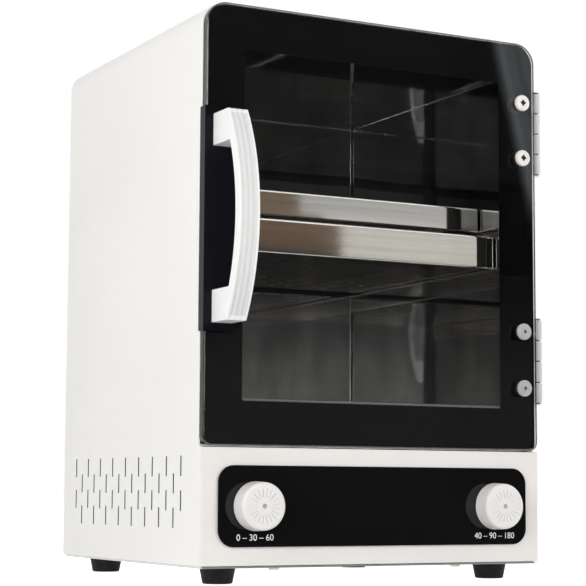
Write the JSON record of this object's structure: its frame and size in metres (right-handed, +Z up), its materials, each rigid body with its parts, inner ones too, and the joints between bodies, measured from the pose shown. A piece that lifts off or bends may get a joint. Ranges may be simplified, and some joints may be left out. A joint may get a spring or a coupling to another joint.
{
  "type": "dry heat sterilizer",
  "caption": "Small bench cabinet with a hinged glass door, bowed handle, two sliding trays in a polished chamber, and two knobs on a black plate below.",
  "frame": {"origin": "middle of the bounding box, on the plane that the feet stand on", "axes": "+Z up, the door and the knobs face -Y, the door's hinges are on the +X side"},
  "size_m": [0.2302, 0.2464, 0.3244],
  "materials": {
    "white_paint": "satin powder coat",
    "zinc_steel": "zinc plated",
    "stainless": "bright stainless",
    "polished_stainless": "mirror polished",
    "glass": "clear, polished edges",
    "black_print": "black print behind glass",
    "gloss_black": "gloss",
    "dark_plate": "satin black",
    "white_plastic": "smooth",
    "rubber": "matte",
    "silicone": "matte",
    "dark_plastic": "matte",
    "wool": "mineral wool",
    "copper": "bright",
    "wire_sleeve": "heat-proof sleeve",
    "magnet": "dark ferrite"
  },
  "bodies": {
    "cabinet": {"outer_shell": "white_paint", "front_panel": "white_paint", "rear_panel": "white_paint", "base_plate": "zinc_steel", "front_frame": "stainless", "door_gasket": "silicone", "chamber_liner": "polished_stainless", "insulation_jacket": "wool", "insulation_board": "wool", "divider_plate": "zinc_steel", "control_plate": "gloss_black", "timer_body": "dark_plastic", "thermostat_body": "dark_plastic", "heater_element": "zinc_steel", "heater_bar_front": "zinc_steel", "heater_bar_rear": "zinc_steel", "sensor_bulb": "copper", "bulb_clip": "zinc_steel", "thermal_cutout": "zinc_steel", "terminal_block": "dark_plastic", "inlet_socket": "dark_plastic", "catch_magnet": "magnet", "rail_lower_left": "stainless", "rail_lower_right": "stainless", "hinge_lower_side_leaf": "stainless", "hinge_lower_pin": "stainless", "rail_upper_left": "stainless", "rail_upper_right": "stainless", "hinge_upper_side_leaf": "stainless", "hinge_upper_pin": "stainless", "foot_front_left": "rubber", "foot_screw_front_left": "zinc_steel", "foot_front_right": "rubber", "foot_screw_front_right": "zinc_steel", "foot_rear_left": "rubber", "foot_screw_rear_left": "zinc_steel", "foot_rear_right": "rubber", "foot_screw_rear_right": "zinc_steel", "wire_inlet": "wire_sleeve", "wire_timer": "wire_sleeve", "wire_heater": "wire_sleeve"},
    "door": {"door_glass": "glass", "door_border": "black_print", "handle_bracket": "dark_plate", "handle": "white_plastic", "handle_screw_upper": "zinc_steel", "handle_screw_lower": "zinc_steel", "hinge_upper_door_leaf": "stainless", "hinge_lower_door_leaf": "stainless", "glass_screw_upper_top": "zinc_steel", "glass_screw_upper_bottom": "zinc_steel", "glass_screw_lower_top": "zinc_steel", "glass_screw_lower_bottom": "zinc_steel", "catch_strike": "zinc_steel"},
    "timer_knob": {"timer_knob": "white_plastic", "timer_shaft": "zinc_steel"},
    "temperature_knob": {"temperature_knob": "white_plastic", "temperature_shaft": "zinc_steel"},
    "tray_lower": {"tray_lower": "stainless"},
    "tray_upper": {"tray_upper": "stainless"}
  },
  "joints": [
    {"name": "door_hinge", "type": "hinge", "parent": "cabinet", "child": "door", "pos_m": [0.112, -0.0815, 0.2], "axis": [0, 0, 1], "range_deg": [0, 180]},
    {"name": "timer_turn", "type": "hinge", "parent": "cabinet", "child": "timer_knob", "pos_m": [-0.0818, -0.0882, 0.04295], "axis": [0, 1, 0], "range_deg": [0, 300]},
    {"name": "temperature_turn", "type": "hinge", "parent": "cabinet", "child": "temperature_knob", "pos_m": [0.0758, -0.0882, 0.04295], "axis": [0, 1, 0], "range_deg": [0, 270]},
    {"name": "lower_tray_slide", "type": "slide", "parent": "cabinet", "child": "tray_lower", "axis": [0, -1, 0], "range_m": [0, 0.0844]},
    {"name": "upper_tray_slide", "type": "slide", "parent": "cabinet", "child": "tray_upper", "axis": [0, -1, 0], "range_m": [0, 0.1014]}
  ],
  "couplings": [
    {"joint": "lower_tray_slide", "follows": "door_hinge", "m_per_rad": 0.026865},
    {"joint": "upper_tray_slide", "follows": "door_hinge", "m_per_rad": 0.032277}
  ]
}
